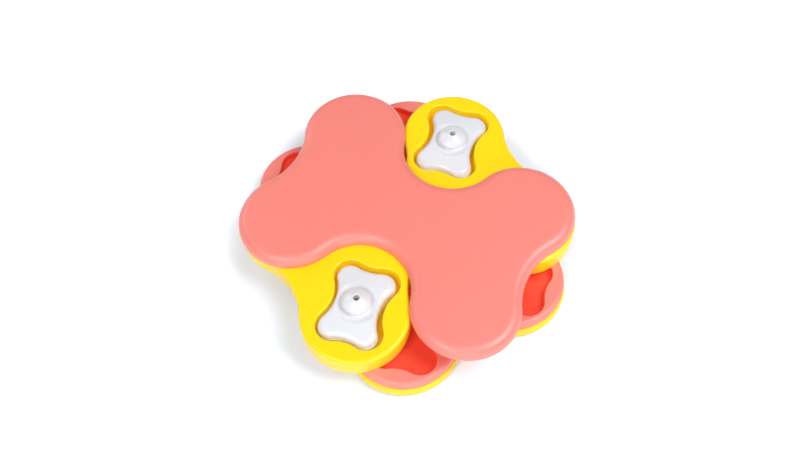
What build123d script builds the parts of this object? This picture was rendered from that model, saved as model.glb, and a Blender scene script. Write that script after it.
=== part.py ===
from build123d import *
import os
from math import cos, radians, sin, sqrt

# Dog puzzle feeder: four lobed tiers stacked on one spindle. The base stands on rubber feet, the two
# middle tiers and the top turn round the spindle, and two loose bone-shaped covers lie in the third
# tier's two open wells, where their knobs stand up between the top's lobes.
# Millimetres, +Z up, origin on the spindle's axis at the level the feet stand on.

# ---- The lobed outline that all four tiers share
lobe_reach = 90.5            # spindle axis to the centre of each lobe
lobe_radius = 42.0
lobe_angle = 32.0            # degrees from the tier's long axis to each lobe
tier_end_hollow = 12.45      # depth of the hollow between the two lobes of one end
tier_waist_hollow = 55.1     # depth of the hollow at the middle of each long side

# ---- The bone outline, used by the wells and by the covers
bone_reach = 25.35
bone_lobe_radius = 9.9
bone_angle = 31.2
bone_end_hollow = 2.2
bone_waist_hollow = 5.85

# ---- How far each tier is turned about the spindle, in degrees from +X
base_angle = 120.0
tier_two_angle = 120.0
tier_three_angle = 32.2
top_angle = 150.4

# ---- Heights
foot_stand = 2.0             # rubber foot below the base
base_height = 8.7
tier_two_height = 8.3
tier_three_height = 17.6
top_height = 8.4
tier_gap = 0.3               # running gap between one tier and the next

# ---- Mouldings
base_ledge = 2.2             # base rim beyond the shared outline
tier_two_ledge = 0.6
skirt_wall = 2.4
deck_thickness = 2.0
floor_thickness = 1.6
cup_wall = 1.6
tray_clearance = 0.2         # tray inside its skirt
tier_edge = 2.8              # rounding of a tier's upper edge
base_foot_edge = 0.8         # rounding of the base's lower edge
top_wall = 2.6
top_roof = 2.4
top_side = 0.4               # straight side left under the top's rounded edge

# ---- Wells
well_clearance = 3.0         # round a bone cover
well_angle = 41.0            # a well's long axis from its tier's long axis
well_lip = 1.2               # rounding of a well's mouth
well_foot = 1.0              # rounding where a well's wall meets its floor
low_well_inset = 2.5         # base and second tier: well's centre inside its lobe's centre
low_well_inward_angle = 2.2  # degrees nearer the long axis than its lobe
high_well_inset = 6.5        # the same on the third tier
high_well_inward_angle = 0.3

# ---- Bone covers
bone_rise = 2.4              # middle of a cover's face above the third tier's face
bone_wall = 1.8
bone_roof = 2.0
bone_edge = 4.5              # rounding round a cover's upper edge
bone_crown_radius = 200.0    # swell of the cover's face
knob_radius = 11.7
knob_side = 1.0              # straight side of the knob under its dome
knob_dome = 7.3              # height of the dome
knob_shoulder = 0.8          # rounding between the knob's side and its dome
knob_hole_radius = 2.4
knob_hole_edge = 0.3

rear_bone_shift = 0.3        # how the two loose covers lie off the middle of their wells
rear_bone_angle = -2.4
front_bone_shift = -1.1
front_bone_angle = -1.0

# ---- Spindle, rings and fasteners
spindle_radius = 7.0
running_clearance = 0.08
deck_hole_clearance = 0.4
hub_wall = 3.4
flange_radius = 14.0
spindle_core_radius = 4.0
spindle_cap = 7.0            # solid length between the core and the axle screw's pilot hole
ring_inner_clearance = 1.6
ring_width = 11.0
ring_recess = 0.8
ring_side_clearance = 0.1
top_hub_height = 3.2
axial_play = 0.15
washer_overlap = 4.0         # retaining washer beyond the spindle
washer_thickness = 1.0
axle_screw_radius = 2.0
axle_screw_length = 14.0
axle_head_radius = 4.2
axle_head_height = 1.4
axle_cross_length = 4.4      # cross recess in the head
axle_cross_width = 0.9
axle_cross_depth = 0.7
screw_radius = 1.25
screw_head_radius = 2.6
screw_cross_length = 3.0
screw_cross_width = 0.6
screw_cross_depth = 0.7
screw_bite = 4.0             # thread length in a boss
thread_clearance = 0.05
boss_radius = 4.0
end_screw_inset = 27.7       # screw in from the lobes' tips at each end
side_screw_inset = 64.95     # screw in from the lobes' outer line at each side
flange_screws = 3
foot_radius = 9.0
foot_socket = 0.8
foot_clearance = 0.1
foot_outset = 5.5            # foot's centre beyond its lobe's centre
foot_edge = 0.8

# ---- Levels that follow from the heights
base_bottom = foot_stand
base_top = base_bottom + base_height
two_bottom = base_top + tier_gap
two_top = two_bottom + tier_two_height
three_bottom = two_top + tier_gap
three_top = three_bottom + tier_three_height
top_bottom = three_top + tier_gap
spindle_end = top_bottom + top_hub_height + axial_play
flange_bottom = base_bottom + floor_thickness
flange_top = base_top - deck_thickness
ring_inner_radius = spindle_radius + ring_inner_clearance
ring_outer_radius = ring_inner_radius + ring_width
flange_screw_reach = (spindle_radius + flange_radius) / 2
top_edge = top_height - top_side

os.makedirs("parts", exist_ok=True)


def hollow_radius(half_gap, depth, lobe):
    """Radius of the hollow that dips by depth between two lobes, tangent to both of them."""
    return (half_gap ** 2 + depth ** 2) / (2 * depth) - lobe


def lobed_outline(reach, lobe, spread, end_hollow, waist_hollow):
    """Four round lobes joined by tangent hollows, with its long axis on X."""
    centre = Vector(reach * cos(radians(spread)), reach * sin(radians(spread)))
    half_length = centre.X + lobe - end_hollow
    half_waist = centre.Y + lobe - waist_hollow
    end_radius = hollow_radius(centre.Y, end_hollow, lobe)
    waist_radius = hollow_radius(centre.X, waist_hollow, lobe)
    end_centre = Vector(half_length + end_radius, 0)
    waist_centre = Vector(0, half_waist + waist_radius)
    by_end = centre + (end_centre - centre).normalized() * lobe
    by_waist = centre + (waist_centre - centre).normalized() * lobe
    tip = centre + centre.normalized() * lobe
    with BuildSketch() as outline:
        with BuildLine():
            for side in (1, -1):
                ThreePointArc(
                    (side * by_end.X, by_end.Y), (side * half_length, 0), (side * by_end.X, -by_end.Y)
                )
                ThreePointArc(
                    (by_waist.X, side * by_waist.Y),
                    (0, side * half_waist),
                    (-by_waist.X, side * by_waist.Y),
                )
                for end in (1, -1):
                    ThreePointArc(
                        (end * by_end.X, side * by_end.Y),
                        (end * tip.X, side * tip.Y),
                        (end * by_waist.X, side * by_waist.Y),
                    )
        make_face()
    return outline.sketch


def tier_outline(grow=0.0):
    """The tiers' outline, moved outwards by grow."""
    return lobed_outline(
        lobe_reach, lobe_radius + grow, lobe_angle, tier_end_hollow, tier_waist_hollow
    )


def bone_outline(grow=0.0):
    """The covers' outline, moved outwards by grow."""
    return lobed_outline(
        bone_reach, bone_lobe_radius + grow, bone_angle, bone_end_hollow, bone_waist_hollow
    )


def well_places(inset, inward_angle, tier_angle):
    """Where a tier's four wells lie: two mirrored pairs, one well under each lobe."""
    reach = lobe_reach - inset
    places = []
    for end in (0, 180):
        for side in (1, -1):
            bearing = radians(tier_angle + end + side * (lobe_angle - inward_angle))
            centre = (reach * cos(bearing), reach * sin(bearing), 0)
            places.append(Location(centre, (0, 0, tier_angle + side * well_angle)))
    return places


def screw_places(tier_angle):
    """Where a tier's four screws go: one at each end gap and one at each waist."""
    places = []
    end_reach = lobe_reach * cos(radians(lobe_angle)) + lobe_radius - end_screw_inset
    side_reach = lobe_reach * sin(radians(lobe_angle)) + lobe_radius - side_screw_inset
    for reach, bearing in ((end_reach, 0), (side_reach, 90)):
        for side in (0, 180):
            direction = radians(tier_angle + bearing + side)
            places.append(Location((reach * cos(direction), reach * sin(direction), 0)))
    return places


def countersunk_screw(bottom, length):
    """A self-tapping screw, driven upwards, with its flat head at bottom."""
    head_height = screw_head_radius - screw_radius
    with BuildPart() as screw:
        with BuildSketch(Plane.XZ):
            with BuildLine():
                Polyline(
                    (0, bottom),
                    (screw_head_radius, bottom),
                    (screw_radius, bottom + head_height),
                    (screw_radius, bottom + length - screw_radius),
                    (0, bottom + length),
                    close=True,
                )
            make_face()
        revolve(axis=Axis.Z)
        with BuildSketch(Plane.XY.offset(bottom)):
            Rectangle(screw_cross_length, screw_cross_width)
            Rectangle(screw_cross_width, screw_cross_length)
        extrude(amount=screw_cross_depth, mode=Mode.SUBTRACT)
    return screw.part


def save(piece, label):
    """Label a finished piece and write it under the same name."""
    piece.label = label
    export_step(piece, f"parts/{label}.step")


def save_screws(label, bottom, places):
    """The like screws of one joint, kept as one node of separate solids."""
    screw = countersunk_screw(bottom, floor_thickness + screw_bite - thread_clearance)
    save(Compound(children=[screw.moved(place) for place in places]), label)


def screw_hole_cutter(bottom):
    """The countersunk hole that a screw leaves in a floor."""
    head = screw_head_radius + thread_clearance
    shank = screw_radius + thread_clearance
    with BuildPart() as cutter:
        with BuildSketch(Plane.XZ):
            with BuildLine():
                Polyline(
                    (0, bottom),
                    (head, bottom),
                    (shank, bottom + head - shank),
                    (shank, bottom + floor_thickness),
                    (0, bottom + floor_thickness),
                    close=True,
                )
            make_face()
        revolve(axis=Axis.Z)
    return cutter.part


def deck_body(bottom, height, ledge, tier_angle, wells):
    """A tier's upper moulding: face, skirt, four lipped well mouths and bosses for the screws."""
    with BuildPart() as deck:
        with BuildSketch(Plane.XY.offset(bottom)):
            add(tier_outline(ledge), rotation=tier_angle)
        extrude(amount=height)
        fillet(deck.faces().sort_by(Axis.Z)[-1].edges(), radius=tier_edge)
        with BuildSketch(Plane.XY.offset(bottom)):
            add(tier_outline(ledge - skirt_wall), rotation=tier_angle)
        extrude(amount=height - deck_thickness, mode=Mode.SUBTRACT)
        with BuildSketch(Plane.XY.offset(bottom + floor_thickness)):
            with Locations(*screw_places(tier_angle)):
                Circle(boss_radius)
        extrude(amount=height - deck_thickness - floor_thickness)
        with BuildSketch(Plane.XY.offset(bottom + floor_thickness)):
            with Locations(*screw_places(tier_angle)):
                Circle(screw_radius + thread_clearance)
        extrude(amount=screw_bite, mode=Mode.SUBTRACT)
        with BuildSketch(Plane.XY.offset(bottom)):
            with Locations(*wells):
                add(bone_outline(well_clearance))
        extrude(amount=height, mode=Mode.SUBTRACT)
        fillet(deck.faces().sort_by(Axis.Z)[-1].inner_wires().edges(), radius=well_lip)
        with BuildSketch(Plane.XY.offset(bottom)):
            Circle(spindle_radius + deck_hole_clearance)
        extrude(amount=height, mode=Mode.SUBTRACT)
    return deck.part


def well_cutter(cup_height):
    """The room inside one well cup, rounded where its wall meets the floor."""
    with BuildPart() as cutter:
        with BuildSketch():
            add(bone_outline(well_clearance))
        extrude(amount=cup_height)
        fillet(cutter.faces().sort_by(Axis.Z)[0].edges(), radius=well_foot)
    return cutter.part


def tray_body(bottom, height, ledge, tier_angle, wells):
    """A tier's lower moulding: a floor with four well cups that rise to the deck."""
    cup_bottom = bottom + floor_thickness
    cup_height = height - deck_thickness - floor_thickness
    well_room = well_cutter(cup_height).moved(Location((0, 0, cup_bottom)))
    with BuildPart() as tray:
        with BuildSketch(Plane.XY.offset(bottom)):
            add(tier_outline(ledge - skirt_wall - tray_clearance), rotation=tier_angle)
        extrude(amount=floor_thickness)
        with BuildSketch(Plane.XY.offset(cup_bottom)):
            with Locations(*wells):
                add(bone_outline(well_clearance + cup_wall))
        extrude(amount=cup_height)
        with Locations(*wells):
            add(well_room, mode=Mode.SUBTRACT)
        for place in screw_places(tier_angle):
            add(screw_hole_cutter(bottom).moved(place), mode=Mode.SUBTRACT)
    return tray.part


def turning_hub(bottom, top):
    """The sleeve that runs on the spindle, before its bore is cut."""
    with BuildPart() as hub:
        with BuildSketch(Plane.XY.offset(bottom)):
            Circle(spindle_radius + running_clearance + hub_wall)
        extrude(amount=top - bottom)
    return hub.part


def hub_cutter(bottom, top):
    """The hub's bore, and under it the shallow seat of the slip ring."""
    with BuildPart() as cutter:
        with BuildSketch(Plane.XY.offset(bottom)):
            Circle(spindle_radius + running_clearance)
        extrude(amount=top - bottom)
        with BuildSketch(Plane.XY.offset(bottom)):
            Circle(ring_outer_radius + ring_side_clearance)
            Circle(ring_inner_radius - ring_side_clearance, mode=Mode.SUBTRACT)
        extrude(amount=ring_recess)
    return cutter.part


# ---- Base: the upper and lower mouldings, screwed together round the spindle's flange
base_wells = well_places(low_well_inset, low_well_inward_angle, base_angle)
foot_reach = lobe_reach + foot_outset
foot_bearings = {
    "foot_rear_left": base_angle + lobe_angle,
    "foot_rear_right": base_angle - lobe_angle,
    "foot_front_right": base_angle + 180 + lobe_angle,
    "foot_front_left": base_angle + 180 - lobe_angle,
}
foot_places = {
    name: Location((foot_reach * cos(radians(angle)), foot_reach * sin(radians(angle)), 0))
    for name, angle in foot_bearings.items()
}
flange_screw_places = [
    place for place in PolarLocations(flange_screw_reach, flange_screws, start_angle=base_angle)
]

with BuildPart() as base_deck:
    add(deck_body(base_bottom, base_height, base_ledge, base_angle, base_wells))
    fillet(base_deck.faces().sort_by(Axis.Z)[0].outer_wire().edges(), radius=base_foot_edge)
save(base_deck.part, "base_deck")

with BuildPart() as base_tray:
    add(tray_body(base_bottom, base_height, base_ledge, base_angle, base_wells))
    with BuildSketch(Plane.XY.offset(flange_bottom)):
        Circle(flange_radius + tray_clearance + cup_wall)
        Circle(flange_radius + tray_clearance, mode=Mode.SUBTRACT)
    extrude(amount=flange_top - flange_bottom)
    for place in flange_screw_places:
        add(screw_hole_cutter(base_bottom).moved(place), mode=Mode.SUBTRACT)
    with BuildSketch(Plane.XY.offset(base_bottom)):
        with Locations(*foot_places.values()):
            Circle(foot_radius + foot_clearance)
    extrude(amount=foot_socket, mode=Mode.SUBTRACT)
save(base_tray.part, "base_tray")

save_screws("base_screws", base_bottom, screw_places(base_angle))

with BuildPart() as foot:
    with BuildSketch():
        Circle(foot_radius)
    extrude(amount=foot_stand + foot_socket)
    fillet(foot.faces().sort_by(Axis.Z)[0].edges(), radius=foot_edge)
for foot_name, place in foot_places.items():
    save(foot.part.moved(place), foot_name)


# ---- Spindle: a cored, flanged axle, with the washer and screw that keep the top on it
with BuildPart() as spindle:
    with BuildSketch(Plane.XY.offset(flange_bottom)):
        Circle(flange_radius)
    extrude(amount=flange_top - flange_bottom)
    with BuildSketch(Plane.XY.offset(flange_bottom)):
        Circle(spindle_radius)
    extrude(amount=spindle_end - flange_bottom)
    with BuildSketch(Plane.XY.offset(flange_bottom)):
        Circle(spindle_core_radius)
    core_end = spindle_end - axle_screw_length - spindle_cap
    extrude(amount=core_end - flange_bottom, mode=Mode.SUBTRACT)
    with BuildSketch(Plane.XY.offset(spindle_end)):
        Circle(axle_screw_radius + thread_clearance)
    extrude(amount=-axle_screw_length, mode=Mode.SUBTRACT)
    with BuildSketch(Plane.XY.offset(flange_bottom)):
        with Locations(*flange_screw_places):
            Circle(screw_radius + thread_clearance)
    extrude(amount=screw_bite, mode=Mode.SUBTRACT)
save(spindle.part, "spindle")

save_screws("spindle_screws", base_bottom, flange_screw_places)

with BuildPart() as retaining_washer:
    with BuildSketch(Plane.XY.offset(spindle_end)):
        Circle(spindle_radius + washer_overlap)
        Circle(axle_screw_radius + thread_clearance, mode=Mode.SUBTRACT)
    extrude(amount=washer_thickness)
save(retaining_washer.part, "retaining_washer")

with BuildPart() as axle_screw:
    with BuildSketch(Plane.XY.offset(spindle_end + washer_thickness)):
        Circle(axle_head_radius)
    extrude(amount=axle_head_height)
    fillet(axle_screw.faces().sort_by(Axis.Z)[-1].edges(), radius=axle_head_height / 2)
    with BuildSketch(Plane.XY.offset(spindle_end + washer_thickness)):
        Circle(axle_screw_radius)
    extrude(amount=thread_clearance - axle_screw_length)
    with BuildSketch(Plane.XY.offset(spindle_end + washer_thickness + axle_head_height)):
        Rectangle(axle_cross_length, axle_cross_width)
        Rectangle(axle_cross_width, axle_cross_length)
    extrude(amount=-axle_cross_depth, mode=Mode.SUBTRACT)
save(axle_screw.part, "axle_screw")


# ---- Second and third tiers: a deck, a tray with its hub, four screws and a slip ring each
def build_turning_tier(name, ring_name, bottom, height, ledge, tier_angle, wells):
    hub_top = bottom + height - deck_thickness
    with BuildPart() as deck:
        add(deck_body(bottom, height, ledge, tier_angle, wells))
    save(deck.part, f"{name}_deck")
    with BuildPart() as tray:
        add(tray_body(bottom, height, ledge, tier_angle, wells))
        add(turning_hub(bottom, hub_top))
        add(hub_cutter(bottom, hub_top), mode=Mode.SUBTRACT)
    save(tray.part, f"{name}_tray")
    save_screws(f"{name}_screws", bottom, screw_places(tier_angle))
    build_slip_ring(ring_name, bottom)


def build_slip_ring(name, tier_bottom):
    """A flat ring seated in a tier's underside, which carries it on the tier below."""
    with BuildPart() as ring:
        with BuildSketch(Plane.XY.offset(tier_bottom - tier_gap)):
            Circle(ring_outer_radius)
            Circle(ring_inner_radius, mode=Mode.SUBTRACT)
        extrude(amount=tier_gap + ring_recess)
    save(ring.part, name)


build_turning_tier(
    "tier_two", "lower_slip_ring", two_bottom, tier_two_height, tier_two_ledge, tier_two_angle,
    well_places(low_well_inset, low_well_inward_angle, tier_two_angle),
)
high_wells = well_places(high_well_inset, high_well_inward_angle, tier_three_angle)
build_turning_tier(
    "tier_three", "middle_slip_ring", three_bottom, tier_three_height, 0.0, tier_three_angle, high_wells,
)


# ---- Top: a plain shell closed from below by a plate that carries its hub
with BuildPart() as top_cavity:
    with BuildSketch(Plane.XY.offset(top_bottom)):
        add(tier_outline(-top_wall), rotation=top_angle)
    extrude(amount=top_height - top_roof)
    fillet(top_cavity.faces().sort_by(Axis.Z)[-1].edges(), radius=top_edge - top_wall)

with BuildPart() as top_cover:
    with BuildSketch(Plane.XY.offset(top_bottom)):
        add(tier_outline(), rotation=top_angle)
    extrude(amount=top_height)
    fillet(top_cover.faces().sort_by(Axis.Z)[-1].edges(), radius=top_edge)
    add(top_cavity.part, mode=Mode.SUBTRACT)
    with BuildSketch(Plane.XY.offset(top_bottom + floor_thickness)):
        with Locations(*screw_places(top_angle)):
            Circle(boss_radius)
    extrude(amount=top_height - top_roof - floor_thickness)
    with BuildSketch(Plane.XY.offset(top_bottom + floor_thickness)):
        with Locations(*screw_places(top_angle)):
            Circle(screw_radius + thread_clearance)
    extrude(amount=screw_bite, mode=Mode.SUBTRACT)
save(top_cover.part, "top_cover")

with BuildPart() as top_plate:
    with BuildSketch(Plane.XY.offset(top_bottom)):
        add(tier_outline(-top_wall - tray_clearance), rotation=top_angle)
    extrude(amount=floor_thickness)
    add(turning_hub(top_bottom, top_bottom + top_hub_height))
    add(hub_cutter(top_bottom, top_bottom + top_hub_height), mode=Mode.SUBTRACT)
    for place in screw_places(top_angle):
        add(screw_hole_cutter(top_bottom).moved(place), mode=Mode.SUBTRACT)
save(top_plate.part, "top_plate")

save_screws("top_screws", top_bottom, screw_places(top_angle))
build_slip_ring("upper_slip_ring", top_bottom)


# ---- Bone covers: a hollow shell, open below, with a drilled domed knob to lift it by
bone_height = tier_three_height - floor_thickness + bone_rise
knob_height = knob_side + knob_dome
dome_radius = (knob_radius ** 2 + knob_dome ** 2) / (2 * knob_dome)
dome_centre = bone_height + knob_height - dome_radius


def crowned_bone(inset, crown_radius, edge):
    """A prism of the covers' outline under a gentle spherical crown, rounded round its upper edge."""
    with BuildPart() as form:
        with BuildSketch():
            add(bone_outline(-inset))
        extrude(amount=bone_height)
        with Locations((0, 0, bone_height - bone_crown_radius)):
            Sphere(crown_radius, mode=Mode.INTERSECT)
        fillet(form.faces().sort_by(Axis.Z)[-1].edges(), radius=edge)
    return form.part


def domed_plug(radius, side, shoulder, foot):
    """A round plug from level foot up, with a straight side, a rounded shoulder and a domed end."""
    rim = dome_centre + sqrt(radius ** 2 - side ** 2)
    half_way = dome_centre + sqrt(radius ** 2 - side ** 2 / 4)
    with BuildPart() as plug:
        with BuildSketch(Plane.XZ) as profile:
            with BuildLine():
                Polyline((0, dome_centre + radius), (0, foot), (side, foot), (side, rim))
                ThreePointArc((side, rim), (side / 2, half_way), (0, dome_centre + radius))
            make_face()
            shoulder_corner = profile.vertices().group_by(Axis.X)[-1].sort_by(Axis.Y)[-1]
            fillet(shoulder_corner, radius=shoulder)
        revolve(axis=Axis.Z)
    return plug.part


cavity_foot = bone_height - 2 * bone_roof
hole_mouth_radius = knob_hole_radius + knob_hole_edge
hole_rim = dome_centre + sqrt(dome_radius ** 2 - hole_mouth_radius ** 2)
with BuildPart() as bone:
    add(crowned_bone(0.0, bone_crown_radius, bone_edge))
    add(domed_plug(dome_radius, knob_radius, knob_shoulder, cavity_foot))
    add(
        crowned_bone(bone_wall, bone_crown_radius - bone_roof, bone_edge - bone_wall),
        mode=Mode.SUBTRACT,
    )
    add(
        domed_plug(dome_radius - bone_roof, knob_radius - bone_wall, knob_shoulder, cavity_foot),
        mode=Mode.SUBTRACT,
    )
    with BuildSketch(Plane.XZ):
        with BuildLine():
            Polyline(
                (0, bone_height),
                (knob_hole_radius, bone_height),
                (knob_hole_radius, hole_rim - knob_hole_edge),
                (hole_mouth_radius, hole_rim),
                (hole_mouth_radius, bone_height + knob_height),
                (0, bone_height + knob_height),
                close=True,
            )
        make_face()
    revolve(axis=Axis.Z, mode=Mode.SUBTRACT)

bone_floor = three_bottom + floor_thickness
rear_well, front_well = high_wells[0], high_wells[2]
bone_rests = (
    ("bone_rear", rear_well, rear_bone_shift, rear_bone_angle),
    ("bone_front", front_well, front_bone_shift, front_bone_angle),
)
for bone_name, well, shift, angle in bone_rests:
    rest = Location((shift, 0, bone_floor), (0, 0, angle))
    turned = Location((0, 0, 0), well.orientation)
    save(bone.part.moved(Location(well.position) * rest * turned), bone_name)
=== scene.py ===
import math

import bmesh
import bpy
from mathutils import Matrix, Vector


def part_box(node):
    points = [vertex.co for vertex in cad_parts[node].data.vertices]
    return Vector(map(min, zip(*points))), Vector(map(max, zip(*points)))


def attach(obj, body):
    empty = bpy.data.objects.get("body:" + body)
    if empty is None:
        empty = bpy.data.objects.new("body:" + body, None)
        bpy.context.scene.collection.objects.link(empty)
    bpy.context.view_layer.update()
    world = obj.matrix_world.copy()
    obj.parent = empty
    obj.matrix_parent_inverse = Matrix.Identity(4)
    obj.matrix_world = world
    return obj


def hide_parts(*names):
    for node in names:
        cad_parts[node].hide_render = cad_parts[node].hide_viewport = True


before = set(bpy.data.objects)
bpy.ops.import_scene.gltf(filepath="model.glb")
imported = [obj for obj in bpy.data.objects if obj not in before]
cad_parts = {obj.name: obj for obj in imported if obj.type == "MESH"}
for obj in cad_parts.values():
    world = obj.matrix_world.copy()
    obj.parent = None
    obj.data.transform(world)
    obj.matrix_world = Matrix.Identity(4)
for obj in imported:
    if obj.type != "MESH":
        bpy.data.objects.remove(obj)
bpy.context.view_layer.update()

# ---- Studio: a plain white sweep that the toy lies on, lit by soft boxes above it to the right and to
# the left and by wide panels in front and behind. The camera looks steeply down at the toy.
for name in ("Cube", "Light", "Camera"):
    if name in bpy.data.objects:
        bpy.data.objects.remove(bpy.data.objects[name])
scene = bpy.context.scene
scene.view_settings.view_transform = "Standard"

picture_width = 800
focal_pixels = 906.4
sensor_width = 36.0
camera_place = (-0.0058, -0.3763, 0.6450)
camera_elevation = math.radians(59.18)
camera = bpy.data.objects.new("camera", bpy.data.cameras.new("camera"))
camera.data.sensor_width = sensor_width
camera.data.lens = focal_pixels / picture_width * sensor_width
camera.location = camera_place
camera.rotation_euler = (math.pi / 2 - camera_elevation, 0.0, 0.0)
scene.collection.objects.link(camera)
scene.camera = camera


class Socket:
    """A shader value. Sums and products of it add their own Math nodes to its graph."""

    def __init__(self, graph, output):
        self.graph = graph
        self.output = output

    def math(self, operation, *values):
        return self.graph.node("ShaderNodeMath", {"operation": operation}, dict(enumerate(values)))

    def __add__(self, other):
        return self.math("ADD", self, other)

    def __radd__(self, other):
        return self.math("ADD", other, self)

    def __sub__(self, other):
        return self.math("SUBTRACT", self, other)

    def __rsub__(self, other):
        return self.math("SUBTRACT", other, self)

    def __mul__(self, other):
        return self.math("MULTIPLY", self, other)

    def __rmul__(self, other):
        return self.math("MULTIPLY", other, self)

    def __gt__(self, other):
        return self.math("GREATER_THAN", self, other)

    def __lt__(self, other):
        return self.math("LESS_THAN", self, other)


class Graph:
    """The nodes of one material or of the world, built from nothing."""

    def __init__(self, owner):
        owner.use_nodes = True
        self.tree = owner.node_tree
        self.tree.nodes.clear()

    def node(self, kind, settings=None, sockets=None, output=0):
        """Add a node, set its settings, fill its sockets with values or links, give one output."""
        made = self.tree.nodes.new(kind)
        for key, value in (settings or {}).items():
            setattr(made, key, value)
        for key, value in (sockets or {}).items():
            if isinstance(value, Socket):
                self.tree.links.new(value.output, made.inputs[key])
            elif isinstance(value, tuple) and len(value) == 3 and made.inputs[key].type == "RGBA":
                made.inputs[key].default_value = (*value, 1.0)
            else:
                made.inputs[key].default_value = value
        return Socket(self, made.outputs[output]) if made.outputs else None

    def blend(self, low, high, amount):
        """A colour that goes from low to high with amount."""
        return self.node("ShaderNodeMix", {"data_type": "RGBA"}, {0: amount, 6: low, 7: high}, output=2)


pure_white = (1.0, 1.0, 1.0)
sky_strength = 0.29
world = bpy.data.worlds.new("studio")
scene.world = world
graph = Graph(world)
light_path = graph.node("ShaderNodeLightPath", output="Is Camera Ray")
sky = graph.node("ShaderNodeBackground", None, {"Color": pure_white, "Strength": sky_strength})
backdrop = graph.node("ShaderNodeBackground", None, {"Color": pure_white, "Strength": 1.0})
seen = graph.node("ShaderNodeMixShader", None, {0: light_path, 1: sky, 2: backdrop})
graph.node("ShaderNodeOutputWorld", None, {"Surface": seen})


def hang_lamp(name, direction, distance, width, height, turn, energy):
    """A soft box aimed at the toy and turned about its own axis."""
    place = Vector(direction).normalized() * distance
    lamp = bpy.data.objects.new(name, bpy.data.lights.new(name, "AREA"))
    lamp.data.shape = "RECTANGLE"
    lamp.data.size = width
    lamp.data.size_y = height
    lamp.data.energy = energy
    lamp.location = place
    aim = (-place).to_track_quat("-Z", "Y").to_matrix()
    lamp.rotation_euler = (aim @ Matrix.Rotation(math.radians(turn), 3, "Z")).to_euler()
    scene.collection.objects.link(lamp)


hang_lamp("right_box", (0.50, -0.12, 0.86), distance=1.6, width=0.72, height=0.72, turn=-25.0, energy=14.2)
hang_lamp("left_box", (-0.36, -0.55, 0.75), distance=1.6, width=0.40, height=0.56, turn=0.0, energy=7.6)
hang_lamp("front_panel", (0.10, -0.96, 0.28), distance=1.7, width=1.6, height=0.5, turn=0.0, energy=8.6)
hang_lamp("rear_panel", (-0.70, 0.50, 0.50), distance=1.8, width=1.0, height=0.8, turn=0.0, energy=5.0)

sweep_reach = 3.0
sweep_colour = (0.88, 0.88, 0.88)
sweep_shade = (0.78, 0.85, 0.98)      # cools the shadow that the camera sees, not the light thrown back
sweep_lift_near = 0.165               # brings the paper to white, less so close round the toy
sweep_lift_far = 0.46
sweep_lift_starts = 0.132             # distances from the spindle's axis
sweep_lift_ends = 0.158
form = bmesh.new()
bmesh.ops.create_grid(form, x_segments=1, y_segments=1, size=sweep_reach)
sweep_mesh = bpy.data.meshes.new("sweep")
form.to_mesh(sweep_mesh)
form.free()
sweep = bpy.data.objects.new("sweep", sweep_mesh)
scene.collection.objects.link(sweep)
paper = bpy.data.materials.new("white_paper")
graph = Graph(paper)
direct = graph.node("ShaderNodeLightPath", output="Is Camera Ray")
mirrored = graph.node("ShaderNodeLightPath", output="Is Glossy Ray")
passed = graph.node("ShaderNodeLightPath", output="Is Transmission Ray")
matt = graph.node("ShaderNodeBsdfDiffuse", None, {"Color": graph.blend(sweep_colour, sweep_shade, direct)})
spot = graph.node("ShaderNodeTexCoord", output="Object")
reach = graph.node("ShaderNodeVectorMath", {"operation": "LENGTH"}, {0: spot}, output="Value")
lit = graph.node(
    "ShaderNodeMapRange",
    {"interpolation_type": "SMOOTHSTEP"},
    {
        "Value": reach,
        "From Min": sweep_lift_starts,
        "From Max": sweep_lift_ends,
        "To Min": sweep_lift_near,
        "To Max": sweep_lift_far,
    },
)
lift = graph.node(
    "ShaderNodeEmission", None, {"Color": pure_white, "Strength": (direct + mirrored + passed) * lit}
)
both = graph.node("ShaderNodeAddShader", None, {0: matt, 1: lift})
graph.node("ShaderNodeOutputMaterial", None, {"Surface": both})
sweep_mesh.materials.append(paper)

# ---- Base: the widest and lowest tier, yellow polypropylene in two injection mouldings. The deck
# with its four well mouths is screwed from below to a tray that carries the well cups. The tray is given
# a deeper amber copy of the yellow, painted shade for the wells' deep colour.
drift_cells = 13.0           # noise cells in a metre: slow drifts of the melt, hazy patches, spark grain
haze_cells = 70.0
spark_cells = 2200.0
spark_depth = 0.00003
haze_swing = 0.14            # from the smoothest to the roughest face
melt_scatter = (1.0, 0.8, 0.7)
painted_glow_margin = 0.0005         # the painted glow starts this far inside the plate that makes the well's floor
third_well_floor = 0.0212
yellow_colour = (1.0, 0.73, 0.0)
yellow_flow = (1.0, 0.765, 0.004)
# a deeper copy of the yellow for the trays that make the wells: painted shade
amber_painted_shade = (1.0, 0.66, 0.008)
amber_painted_shade_flow = (1.0, 0.70, 0.012)
# painted glow: emission that lights the amber wells above their floor, painted light
amber_painted_glow = (1.0, 0.50, 0.008)
amber_painted_glow_strength = 0.17


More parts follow.
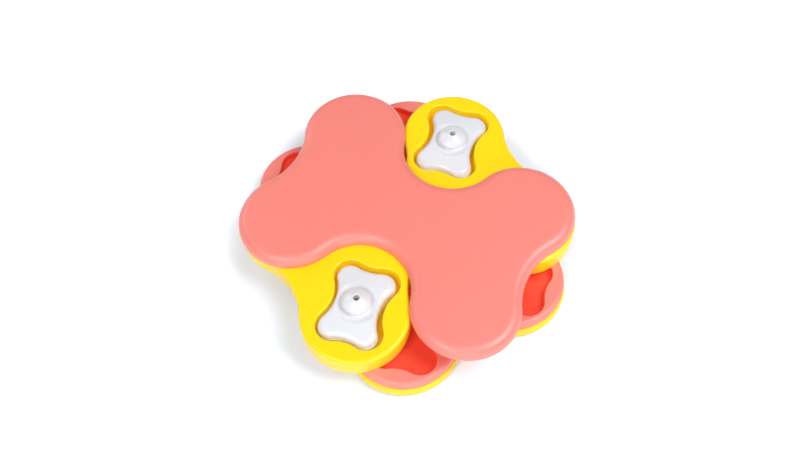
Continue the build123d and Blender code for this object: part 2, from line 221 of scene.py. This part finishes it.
def moulded_plastic(
    name, colour, flow_colour, roughness=0.30, glow=0.3, depth=0.003, flow_share=0.5, index=1.5, painted_glow=None
):
    """Satin moulding, a little translucent: slow drifts of colour, hazy patches, fine spark grain.

    A painted glow is a colour, a strength and the level of a well's floor. Above that floor the
    moulding is given an emission: painted light, standing in for light that soaks through the thin cup.
    """
    finish = bpy.data.materials.new(name)
    graph = Graph(finish)
    place = graph.node("ShaderNodeTexCoord", output="Object")
    flow = graph.node(
        "ShaderNodeTexNoise", None, {"Vector": place, "Scale": drift_cells, "Detail": 2.0, "Distortion": 0.6}
    )
    haze = graph.node(
        "ShaderNodeTexNoise", None, {"Vector": place, "Scale": haze_cells, "Detail": 4.0, "Roughness": 0.6}
    )
    spark = graph.node("ShaderNodeTexNoise", None, {"Vector": place, "Scale": spark_cells, "Detail": 1.0})
    drift = graph.node(
        "ShaderNodeMapRange",
        None,
        {"Value": flow, "From Min": 0.35, "From Max": 0.65, "To Min": 0.0, "To Max": flow_share},
    )
    satin = graph.node(
        "ShaderNodeBump", None, {"Strength": 0.5, "Distance": spark_depth, "Height": spark}
    )
    skin_sockets = {
        "Base Color": graph.blend(colour, flow_colour, drift),
        "Roughness": (haze - 0.5) * haze_swing + roughness,
        "IOR": index,
        "Subsurface Weight": glow,
        "Subsurface Radius": melt_scatter,
        "Subsurface Scale": depth,
        "Normal": satin,
    }
    # Painted glow: above the floor level the moulding emits light, painted light that no lamp gives.
    if painted_glow:
        painted_glow_colour, painted_glow_strength, floor_level = painted_glow
        height = graph.node("ShaderNodeSeparateXYZ", None, {"Vector": place}, output="Z")
        painted_glow_area = height > floor_level - painted_glow_margin
        skin_sockets["Emission Color"] = graph.blend((0.0, 0.0, 0.0), painted_glow_colour, painted_glow_area)
        skin_sockets["Emission Strength"] = painted_glow_strength
    skin = graph.node("ShaderNodeBsdfPrincipled", None, skin_sockets)
    graph.node("ShaderNodeOutputMaterial", None, {"Surface": skin})
    return finish


def dress(finish, *names):
    """Give CAD nodes their finish."""
    for name in names:
        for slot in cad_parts[name].material_slots:
            slot.material = finish


yellow = moulded_plastic("yellow_plastic", yellow_colour, yellow_flow)
amber = moulded_plastic(
    "amber_plastic", amber_painted_shade, amber_painted_shade_flow, painted_glow=(amber_painted_glow, amber_painted_glow_strength, third_well_floor)
)
dress(yellow, "base_deck")
dress(amber, "base_tray")

# ---- Base fasteners: four countersunk self-tapping screws of zinc-plated steel with cross recesses.
# They are driven up through the tray into bosses under the deck, so only the underside shows them.
cloud_cells = 400.0          # noise cells in a metre: faint clouds in the plating, fine turned lines
turning_cells = 5000.0
turning_depth = 0.00002
cloud_dulling = 0.8          # the clouds' colour, as a share of the clear plating's
cloud_haze = 0.2             # how much rougher the clouds are
zinc_colour = (0.62, 0.64, 0.66)
zinc_roughness = 0.25


def plated_steel(name, colour, roughness):
    """Zinc plating: a cool metal with faint clouds and fine turned lines."""
    finish = bpy.data.materials.new(name)
    graph = Graph(finish)
    place = graph.node("ShaderNodeTexCoord", output="Object")
    cloud = graph.node("ShaderNodeTexNoise", None, {"Vector": place, "Scale": cloud_cells, "Detail": 3.0})
    lines = graph.node("ShaderNodeTexNoise", None, {"Vector": place, "Scale": turning_cells, "Detail": 1.0})
    turned = graph.node(
        "ShaderNodeBump", None, {"Strength": 0.3, "Distance": turning_depth, "Height": lines}
    )
    dull = tuple(cloud_dulling * part for part in colour)
    skin = graph.node(
        "ShaderNodeBsdfPrincipled",
        None,
        {
            "Base Color": graph.blend(dull, colour, cloud),
            "Metallic": 1.0,
            "Roughness": cloud * cloud_haze + roughness,
            "Normal": turned,
        },
    )
    graph.node("ShaderNodeOutputMaterial", None, {"Surface": skin})
    return finish


zinc = plated_steel("zinc_plating", zinc_colour, zinc_roughness)
dress(zinc, "base_screws")

# ---- Feet: four dark rubber pads, matt and faintly dusty, pressed into sockets in the tray, one under
# each lobe. Two round grooves and a dimple in the face of each let it grip a floor.
weld_distance = 0.00001      # points closer than this are one
foot_steps = 96
foot_dimple = ((0.0, 0.00050), (0.00140, 0.00050), (0.00158, 0.00046), (0.00182, 0.00004), (0.00200, 0.0))
groove_starts = (0.00330, 0.00620)
groove_section = (
    (0.0, 0.0), (0.00018, 0.00004), (0.00042, 0.00056), (0.00060, 0.00060),
    (0.00110, 0.00060), (0.00128, 0.00056), (0.00152, 0.00004), (0.00170, 0.0),
)
foot_side = (
    (0.00825, 0.0), (0.00855, 0.00008), (0.00882, 0.00028), (0.00896, 0.00056), (0.00900, 0.00085),
    (0.00900, 0.00240), (0.00894, 0.00268), (0.00870, 0.00280), (0.0, 0.00280),
)
foot_profile = (
    *foot_dimple,
    *((start + step, level) for start in groove_starts for step, level in groove_section),
    *foot_side,
)
dust_cells = 240.0           # noise cells in a metre: dusty bloom, rubbed grain
rub_cells = 2600.0
rub_depth = 0.00005
rubber_colour = (0.02, 0.02, 0.022)
dust_colour = (0.07, 0.068, 0.065)
rubber_roughness = 0.62
dust_haze = 0.3              # how much rougher the dusty places are


def soft_rubber(name):
    """Matt rubber with a dusty bloom and a fine rubbed grain."""
    finish = bpy.data.materials.new(name)
    graph = Graph(finish)
    place = graph.node("ShaderNodeTexCoord", output="Object")
    dust = graph.node("ShaderNodeTexNoise", None, {"Vector": place, "Scale": dust_cells, "Detail": 4.0})
    rub = graph.node("ShaderNodeTexNoise", None, {"Vector": place, "Scale": rub_cells, "Detail": 2.0})
    bloom = graph.node(
        "ShaderNodeMapRange",
        None,
        {"Value": dust, "From Min": 0.4, "From Max": 0.75, "To Min": 0.0, "To Max": 0.6},
    )
    grain = graph.node("ShaderNodeBump", None, {"Strength": 0.6, "Distance": rub_depth, "Height": rub})
    skin = graph.node(
        "ShaderNodeBsdfPrincipled",
        None,
        {
            "Base Color": graph.blend(rubber_colour, dust_colour, bloom),
            "Roughness": rubber_roughness + bloom * dust_haze,
            "Normal": grain,
        },
    )
    graph.node("ShaderNodeOutputMaterial", None, {"Surface": skin})
    return finish


def lowest_middle(node):
    """The middle of the lowest face of a CAD node's box."""
    low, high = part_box(node)
    return (low[0] + high[0]) / 2, (low[1] + high[1]) / 2, low[2]


def turn_section(form, section, bearing, steps):
    """Spin a half section, given as radii and levels, a full turn about Z, starting at this bearing."""
    rail = [
        form.verts.new((radius * math.cos(bearing), radius * math.sin(bearing), level))
        for radius, level in section
    ]
    line = [form.edges.new(pair) for pair in zip(rail, rail[1:])]
    bmesh.ops.spin(
        form, geom=rail + line, cent=(0, 0, 0), axis=(0, 0, 1), angle=math.tau, steps=steps, use_merge=True
    )


def finished_piece(name, form, finish):
    """The form as a smooth object of one material, at the origin."""
    mesh = bpy.data.meshes.new(name)
    form.to_mesh(mesh)
    form.free()
    mesh.shade_smooth()
    mesh.materials.append(finish)
    piece = bpy.data.objects.new(name, mesh)
    scene.collection.objects.link(piece)
    return piece


def build_foot(name, node):
    """One foot, turned from its half section."""
    form = bmesh.new()
    turn_section(form, foot_profile, 0.0, foot_steps)
    bmesh.ops.remove_doubles(form, verts=form.verts, dist=weld_distance)
    bmesh.ops.translate(form, verts=form.verts, vec=lowest_middle(node))
    bmesh.ops.recalc_face_normals(form, faces=form.faces)
    foot = finished_piece(name, form, rubber)
    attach(foot, "base")
    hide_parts(node)


rubber = soft_rubber("foot_rubber")
for corner in ("front_left", "front_right", "rear_left", "rear_right"):
    build_foot(f"pad_{corner}", f"foot_{corner}")

# ---- Spindle: the flanged axle in natural acetal, held to the base tray by three screws. A zinc
# plated washer and a pan-head screw at its upper end keep the tiers on it.
acetal_colour = (0.78, 0.77, 0.70)
acetal_flow = (0.72, 0.71, 0.64)
acetal = moulded_plastic("natural_acetal", acetal_colour, acetal_flow, roughness=0.42, flow_share=0.6)
dress(acetal, "spindle")
dress(zinc, "spindle_screws", "retaining_washer", "axle_screw")

# ---- Second tier: a coral deck over a tray whose hub runs on the spindle. The tray makes the wells and
# is given a deeper red than the deck, painted shade for the wells' deep colour. It rests on the lower
# slip ring, which is seated in its underside.
second_well_floor = 0.0126
coral_colour = (1.0, 0.238, 0.190)
coral_flow = (0.97, 0.238, 0.208)
# a deeper copy of the coral for the tray that makes the wells: painted shade
red_painted_shade = (1.0, 0.090, 0.048)
red_painted_shade_flow = (1.0, 0.105, 0.055)
# painted glow: emission in the red wells above their floor, painted light
red_painted_glow = (1.0, 0.05, 0.025)
red_painted_glow_strength = 0.07
coral = moulded_plastic("coral_plastic", coral_colour, coral_flow, roughness=0.45, index=1.9)
red = moulded_plastic(
    "red_plastic", red_painted_shade, red_painted_shade_flow, painted_glow=(red_painted_glow, red_painted_glow_strength, second_well_floor)
)
dress(coral, "tier_two_deck")
dress(red, "tier_two_tray")
dress(zinc, "tier_two_screws")
dress(acetal, "lower_slip_ring")

# ---- Third tier: twice as deep as the second, a yellow deck screwed to a tray, both moulded. The tray
# makes the wells and is given a deeper amber copy of the yellow, painted shade for the wells' deep colour.
# It turns on the middle slip ring, and its wells are deep enough for the loose covers.
dress(yellow, "tier_three_deck")
dress(amber, "tier_three_tray")
dress(zinc, "tier_three_screws")
dress(acetal, "middle_slip_ring")

# ---- Top: a plain coral shell with a full round edge, closed from below by a screwed plate with the
# uppermost hub. It turns on the upper slip ring.
dress(coral, "top_cover", "top_plate")
dress(zinc, "top_screws")
dress(acetal, "upper_slip_ring")

# ---- Covers: two loose bones of glossy white polypropylene, each a thin-walled moulding that is open
# below. A button to lift it by stands in a finger dish in its face, and is bored through for the scent.
white_colour = (0.79, 0.80, 0.845)
white_flow = (0.77, 0.78, 0.83)
bone_reach = 0.02535         # the bone's middle to the centre of each of its lobes
bone_lobe = 0.0099
bone_spread = math.radians(31.2)
bone_end_hollow = 0.0022
bone_waist_hollow = 0.00585
bone_sides = 240             # points round the outline, and steps round the button
bone_face = 0.0396           # the middle of the cover's face, before the dish
bone_rises = (0.0005, 0.0028, 0.0028, 0.0028, 0.0028, 0.0067)  # steps from the foot up to the face
bone_draft = 1.028           # the foot's size, as a share of the face's
bone_edge = 0.0045
bone_edge_steps = 10
bone_crown = 0.200
bone_wall = 0.0018
dish_radius = 0.0168         # the lip, where the dish meets the crowned face
dish_low_radius = 0.0124     # the ring where the dish is deepest
dish_floor = 0.0379
dish_lip = 0.0003            # the lip is softened where face and dish lie closer than this
dish_run_out = 0.001         # how far past the lip the softening can reach
face_cuts = 36               # rings of points between the button and the rounded edge
button_foot = (0.0112, 0.03797)  # the half section goes from inside the bore over the rim to here
button_profile = (
    (0.00240, 0.03850), (0.00240, 0.04100), (0.00240, 0.04400), (0.00240, 0.04620),
    (0.00240, 0.04700), (0.00252, 0.04732), (0.00284, 0.04752), (0.00322, 0.04750),
    (0.00350, 0.04732), (0.00440, 0.04690), (0.00560, 0.04634), (0.00680, 0.04573),
    (0.00800, 0.04504), (0.00900, 0.04440), (0.00990, 0.04372), (0.01060, 0.04311),
    (0.01105, 0.04265), (0.01128, 0.04230), (0.01136, 0.04200), (0.01126, 0.04172),
    (0.01098, 0.04150), (0.01062, 0.04122), (0.01038, 0.04080), (0.01028, 0.04020),
    (0.01026, 0.03940), (0.01036, 0.03870), (0.01064, 0.03822), button_foot,
)
rear_cover_turn = 70.8       # each cover's long axis, in degrees from +X
front_cover_turn = 72.2


def bone_loop(form, level):
    """The bone's outline as one loop: eight arcs spun end to end, each tangent to the next."""
    lobe = Vector((math.cos(bone_spread), math.sin(bone_spread))) * bone_reach
    end = lobe.x + (lobe.y ** 2 + bone_end_hollow ** 2) / (2 * bone_end_hollow) - bone_end_hollow
    waist = lobe.y + (lobe.x ** 2 + bone_waist_hollow ** 2) / (2 * bone_waist_hollow) - bone_waist_hollow
    to_end = math.atan2(-lobe.y, end - lobe.x)
    to_waist = math.atan2(waist - lobe.y, -lobe.x)
    tip = form.verts.new(
        (lobe.x + bone_lobe * math.cos(to_end), lobe.y + bone_lobe * math.sin(to_end), level)
    )
    tenth = bone_sides // 10
    for side in (1, -1):
        for centre, turn, steps in (
            ((side * lobe.x, side * lobe.y, level), to_waist - to_end, tenth),
            ((0.0, side * waist, level), math.pi - 2 * to_waist, 2 * tenth),
            ((-side * lobe.x, side * lobe.y, level), to_waist - to_end, tenth),
            ((-side * end, 0.0, level), 2 * to_end, tenth),
        ):
            arc = bmesh.ops.spin(form, geom=[tip], cent=centre, axis=(0, 0, 1), angle=turn, steps=steps)
            tip = [part for part in arc["geom_last"] if isinstance(part, bmesh.types.BMVert)][0]
    bmesh.ops.remove_doubles(form, verts=form.verts, dist=weld_distance)
    return form.edges[:]


def open_ring(form, level, inside=1.0):
    """The open edges at this level, no further than inside from the middle."""
    return [
        edge for edge in form.edges
        if edge.is_boundary
        and all(
            abs(vert.co.z - level) < 2 * weld_distance and vert.co.xy.length < inside
            for vert in edge.verts
        )
    ]


def raise_shell(form):
    """The drafted side and the rounded edge, raised from the foot and open where the face will be."""
    lid = bmesh.ops.contextual_create(form, geom=bone_loop(form, third_well_floor))["faces"][0]
    bmesh.ops.scale(form, verts=form.verts, vec=(bone_draft, bone_draft, 1.0))
    shrink = bone_draft ** (-1 / len(bone_rises))
    for rise in bone_rises:
        grown = bmesh.ops.extrude_face_region(form, geom=[lid])["geom"]
        lid = [part for part in grown if isinstance(part, bmesh.types.BMFace)][0]
        bmesh.ops.translate(form, verts=lid.verts, vec=(0, 0, rise))
        bmesh.ops.scale(form, verts=lid.verts, vec=(shrink, shrink, 1.0))
    bmesh.ops.bevel(
        form,
        geom=lid.edges[:],
        offset=bone_edge,
        segments=bone_edge_steps,
        profile=0.5,
        affect="EDGES",
        material=-1,
    )
    lids = [face for face in form.faces if len(face.verts) > 4]
    bmesh.ops.delete(form, geom=lids, context="FACES_ONLY")
    for vert in form.verts:
        vert.tag = True


def set_button(form):
    """The button, with its seam at the shell's, and the face round it, flat and finely divided."""
    seam = open_ring(form, bone_face)[0].verts[0].co
    turn_section(form, button_profile, math.atan2(seam.y, seam.x), bone_sides)
    foot_radius, foot_level = button_foot
    foot_ring = open_ring(form, foot_level, foot_radius + 10 * weld_distance)
    web = bmesh.ops.bridge_loops(form, edges=open_ring(form, bone_face) + foot_ring)["faces"]
    drop = (bone_face - foot_level) / 2
    spokes = [
        edge for face in web for edge in face.edges if abs(edge.verts[0].co.z - edge.verts[1].co.z) > drop
    ]
    cut = bmesh.ops.subdivide_edges(
        form, edges=list(dict.fromkeys(spokes)), cuts=face_cuts, use_grid_fill=True
    )
    for vert in cut["geom_inner"]:
        if isinstance(vert, bmesh.types.BMVert):
            vert.co.z = bone_face
            vert.tag = True


def press_dish(form):
    """Crown the face and its edge, and press the finger dish into it with a softened lip."""
    dish_rise = bone_face - dish_radius ** 2 / (2 * bone_crown) - dish_floor
    for vert in form.verts:
        if vert.tag and vert.co.z > bone_face - bone_edge - weld_distance:
            reach = vert.co.xy.length
            face = vert.co.z - reach ** 2 / (2 * bone_crown)
            vert.co.z = face
            if reach < dish_radius + dish_run_out:
                slope = (reach - dish_low_radius) / (dish_radius - dish_low_radius)
                dish = dish_floor + dish_rise * slope ** 2
                share = min(1.0, max(0.0, 0.5 + (face - dish) / (2 * dish_lip)))
                vert.co.z = face + (dish - face) * share - dish_lip * share * (1 - share)


def build_cover(name, body, node, turn):
    """One cover, made at its place in its well."""
    form = bmesh.new()
    raise_shell(form)
    set_button(form)
    press_dish(form)
    across, along, _ = lowest_middle(node)
    twist = Matrix.Rotation(math.radians(turn), 3, "Z")
    bmesh.ops.rotate(form, verts=form.verts, cent=(0, 0, 0), matrix=twist)
    bmesh.ops.translate(form, verts=form.verts, vec=(across, along, 0.0))
    bmesh.ops.recalc_face_normals(form, faces=form.faces)
    if sum(face.normal.z * face.calc_area() for face in form.faces) < 0:
        bmesh.ops.reverse_faces(form, faces=form.faces)
    cover = finished_piece(name, form, white)
    hollow = cover.modifiers.new("wall", "SOLIDIFY")
    hollow.thickness = bone_wall
    hollow.offset = -1.0
    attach(cover, body)
    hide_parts(node)


white = moulded_plastic(
    "white_plastic", white_colour, white_flow, roughness=0.16, glow=0.15, depth=0.001
)
build_cover("cover_rear", "rear_cover", "bone_rear", rear_cover_turn)
build_cover("cover_front", "front_cover", "bone_front", front_cover_turn)
